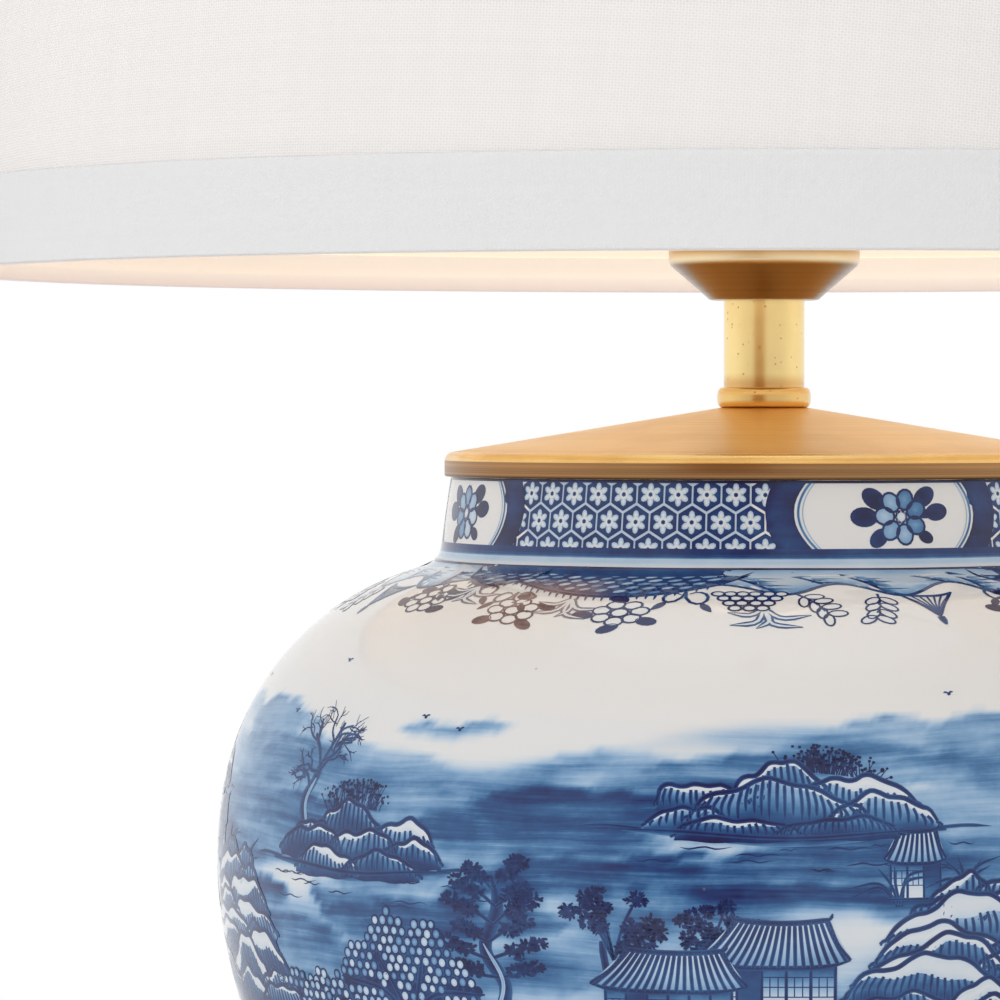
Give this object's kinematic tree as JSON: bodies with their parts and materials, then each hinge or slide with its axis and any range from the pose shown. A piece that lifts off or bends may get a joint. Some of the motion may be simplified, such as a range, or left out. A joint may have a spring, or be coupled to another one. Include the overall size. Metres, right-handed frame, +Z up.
{
  "type": "ginger jar lamp",
  "caption": "Table lamp with a blue-and-white ceramic ginger jar body, brass cap and neck, and a wide tapered fabric shade on a screw-base lampholder.",
  "frame": {"origin": "on the lamp's axis, at the underside of the felt pad that it stands on", "axes": "+Z up along the lamp's axis, -Y towards the picture's camera, +Y towards the lead bushing at the back of the foot"},
  "size_m": [0.4999, 0.5, 0.717],
  "materials": {
    "felt": "dark green-black felt",
    "board": "brown fibreboard",
    "antique_brass": "antique satin brass",
    "zinc_steel": "zinc-plated steel",
    "rubber": "black rubber",
    "glazed_ceramic": "white glaze with blue painted decoration",
    "porcelain": "unpainted white porcelain",
    "holder_brass": "polished brass",
    "contact_metal": "bright brass",
    "knob": "black moulded plastic",
    "bulb_glass": "opal, lit warm white",
    "bulb_plastic": "white plastic",
    "bulb_metal": "bright aluminium",
    "bulb_insulator": "black glass",
    "shade_fabric": "off-white plain-weave linen",
    "shade_trim": "off-white folded fabric trim",
    "shade_liner": "white stiff lining",
    "white_wire": "white powder-coated steel"
  },
  "bodies": {
    "lamp": {"felt_pad": "felt", "bottom_board": "board", "foot": "antique_brass", "cord_bushing": "holder_brass", "bushing_nut": "zinc_steel", "threaded_rod": "zinc_steel", "lower_washer": "zinc_steel", "lock_washer": "zinc_steel", "lower_nut": "zinc_steel", "foot_gasket": "rubber", "jar": "glazed_ceramic", "mouth_gasket": "rubber", "cap": "antique_brass", "collar": "antique_brass", "neck_tube": "antique_brass", "cup": "antique_brass", "cup_washer": "zinc_steel", "cup_nut": "zinc_steel", "holder_cap": "holder_brass", "holder_shell": "holder_brass", "holder_insert": "porcelain", "terminal_screws": "contact_metal", "screw_shell": "contact_metal", "centre_contact": "contact_metal", "lower_shade_ring": "holder_brass", "upper_shade_ring": "holder_brass", "switch_bushing": "holder_brass"},
    "switch": {"switch_spindle": "zinc_steel", "switch_knob": "knob"},
    "bulb_lift": {"bulb_contact": "contact_metal"},
    "bulb": {"bulb_insulator": "bulb_insulator", "bulb_screw_cap": "bulb_metal", "bulb_collar": "bulb_plastic", "bulb_globe": "bulb_glass"},
    "shade": {"shade_fabric": "shade_fabric", "shade_liner": "shade_liner", "lower_trim": "shade_trim", "upper_trim": "shade_trim", "shade_fitter": "white_wire", "shade_arms": "white_wire", "lower_wire_ring": "white_wire", "upper_wire_ring": "white_wire"}
  },
  "joints": [
    {"name": "switch_turn", "type": "hinge", "parent": "lamp", "child": "switch", "pos_m": [0, 0, 0.44484], "axis": [1, 0, 0], "continuous": true},
    {"name": "bulb_rise", "type": "slide", "parent": "lamp", "child": "bulb_lift", "axis": [0, 0, 1], "range_m": [0, 0.0163]},
    {"name": "bulb_turn", "type": "hinge", "parent": "bulb_lift", "child": "bulb", "pos_m": [0, 0, 0.45364], "axis": [0, 0, 1], "range_deg": [0, 1620]},
    {"name": "shade_turn", "type": "hinge", "parent": "lamp", "child": "shade", "pos_m": [0, 0, 0.47], "axis": [0, 0, 1], "continuous": true}
  ],
  "couplings": [
    {"joint": "bulb_turn", "follows": "bulb_rise", "rad_per_m": 1731.6}
  ]
}
